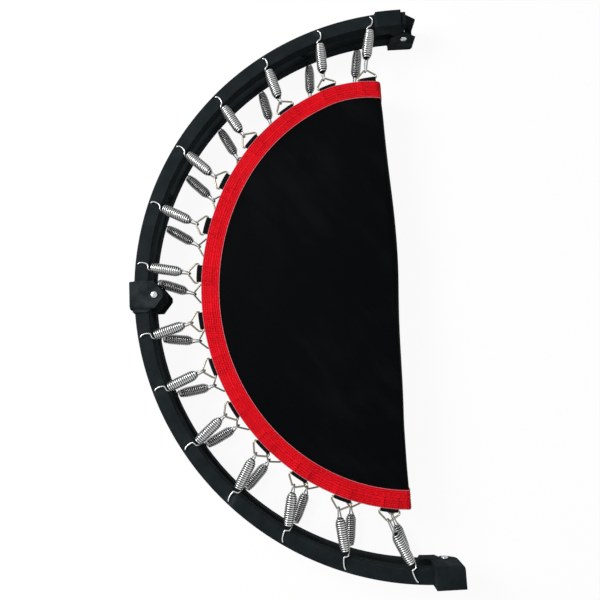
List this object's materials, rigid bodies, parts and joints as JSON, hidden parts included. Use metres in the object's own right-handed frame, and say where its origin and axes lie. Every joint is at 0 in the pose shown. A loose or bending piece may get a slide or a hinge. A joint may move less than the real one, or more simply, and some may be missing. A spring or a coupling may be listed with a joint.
{
  "type": "folding mini trampoline",
  "caption": "Black steel folding mini trampoline, folded in half, its mat edged in red webbing and hung on springs.",
  "frame": {"origin": "on the floor under the middle of the folded trampoline's bounding box", "axes": "+X from the mid hinges to the fold line, +Y along the fold line, +Z from the rear half to the front half"},
  "size_m": [0.5456, 1.039, 0.0956],
  "materials": {
    "powder_coated_steel": "satin black powder coat",
    "zinc_plated_steel": "bright zinc",
    "red_webbing": "woven, stitched",
    "woven_mat": "woven"
  },
  "bodies": {
    "rear_half": {"rear_lower_fold_inner_bracket": "powder_coated_steel", "rear_lower_mid_bolt": "zinc_plated_steel", "rear_lower_mid_nut": "zinc_plated_steel", "rear_lower_mid_outer_bracket": "powder_coated_steel", "rear_lower_tube": "powder_coated_steel", "rear_spring_01": "zinc_plated_steel", "rear_spring_02": "zinc_plated_steel", "rear_spring_03": "zinc_plated_steel", "rear_spring_04": "zinc_plated_steel", "rear_spring_05": "zinc_plated_steel", "rear_spring_06": "zinc_plated_steel", "rear_spring_07": "zinc_plated_steel", "rear_spring_08": "zinc_plated_steel", "rear_spring_09": "zinc_plated_steel", "rear_spring_10": "zinc_plated_steel", "rear_spring_11": "zinc_plated_steel", "rear_spring_12": "zinc_plated_steel", "rear_spring_13": "zinc_plated_steel", "rear_spring_14": "zinc_plated_steel", "rear_upper_fold_bolt": "zinc_plated_steel", "rear_upper_fold_nut": "zinc_plated_steel", "rear_upper_fold_outer_bracket": "powder_coated_steel", "rear_upper_mid_inner_bracket": "powder_coated_steel", "rear_upper_tube": "powder_coated_steel"},
    "front_half": {"front_lower_fold_bolt": "zinc_plated_steel", "front_lower_fold_nut": "zinc_plated_steel", "front_lower_fold_outer_bracket": "powder_coated_steel", "front_lower_mid_inner_bracket": "powder_coated_steel", "front_lower_tube": "powder_coated_steel", "front_spring_01": "zinc_plated_steel", "front_spring_02": "zinc_plated_steel", "front_spring_03": "zinc_plated_steel", "front_spring_04": "zinc_plated_steel", "front_spring_05": "zinc_plated_steel", "front_spring_06": "zinc_plated_steel", "front_spring_07": "zinc_plated_steel", "front_spring_08": "zinc_plated_steel", "front_spring_09": "zinc_plated_steel", "front_spring_10": "zinc_plated_steel", "front_spring_11": "zinc_plated_steel", "front_spring_12": "zinc_plated_steel", "front_spring_13": "zinc_plated_steel", "front_spring_14": "zinc_plated_steel", "front_upper_fold_inner_bracket": "powder_coated_steel", "front_upper_mid_bolt": "zinc_plated_steel", "front_upper_mid_nut": "zinc_plated_steel", "front_upper_mid_outer_bracket": "powder_coated_steel", "front_upper_tube": "powder_coated_steel"},
    "rear_mat": {"rear_edge_band": "red_webbing", "rear_mat": "woven_mat"},
    "front_mat": {"front_edge_band": "red_webbing", "front_mat": "woven_mat"},
    "rear_edge": {"rear_lower_band_end": "red_webbing", "rear_mat_fold": "woven_mat", "rear_upper_band_end": "red_webbing"},
    "front_edge": {"front_lower_band_end": "red_webbing", "front_mat_fold": "woven_mat", "front_upper_band_end": "red_webbing"}
  },
  "joints": [
    {"name": "half_fold", "type": "hinge", "parent": "rear_half", "child": "front_half", "pos_m": [0.2478, 0, 0.0478], "axis": [0, 1, 0], "range_deg": [0, 180]},
    {"name": "rear_mat_slide", "type": "slide", "parent": "rear_half", "child": "rear_mat", "axis": [1, 0, 0], "range_m": [0, 0.02566], "deforming": ["rear_spring_01", "rear_spring_02", "rear_spring_03", "rear_spring_04", "rear_spring_05", "rear_spring_06", "rear_spring_07", "rear_spring_08", "rear_spring_09", "rear_spring_10", "rear_spring_11", "rear_spring_12", "rear_spring_13", "rear_spring_14"]},
    {"name": "rear_edge_turn", "type": "hinge", "parent": "rear_mat", "child": "rear_edge", "pos_m": [0.1873, 0, 0.0158], "axis": [0, 1, 0], "range_deg": [0, 71.83]},
    {"name": "front_mat_slide", "type": "slide", "parent": "front_half", "child": "front_mat", "axis": [1, 0, 0], "range_m": [0, 0.02566], "deforming": ["front_spring_01", "front_spring_02", "front_spring_03", "front_spring_04", "front_spring_05", "front_spring_06", "front_spring_07", "front_spring_08", "front_spring_09", "front_spring_10", "front_spring_11", "front_spring_12", "front_spring_13", "front_spring_14"]},
    {"name": "front_edge_turn", "type": "hinge", "parent": "front_mat", "child": "front_edge", "pos_m": [0.1873, 0, 0.0798], "axis": [0, -1, 0], "range_deg": [0, 71.83]}
  ],
  "couplings": [
    {"joint": "rear_mat_slide", "follows": "half_fold", "m_per_rad": 0.0081678},
    {"joint": "rear_edge_turn", "follows": "half_fold", "ratio": 0.39906},
    {"joint": "front_mat_slide", "follows": "half_fold", "m_per_rad": 0.0081678},
    {"joint": "front_edge_turn", "follows": "half_fold", "ratio": 0.39906}
  ]
}
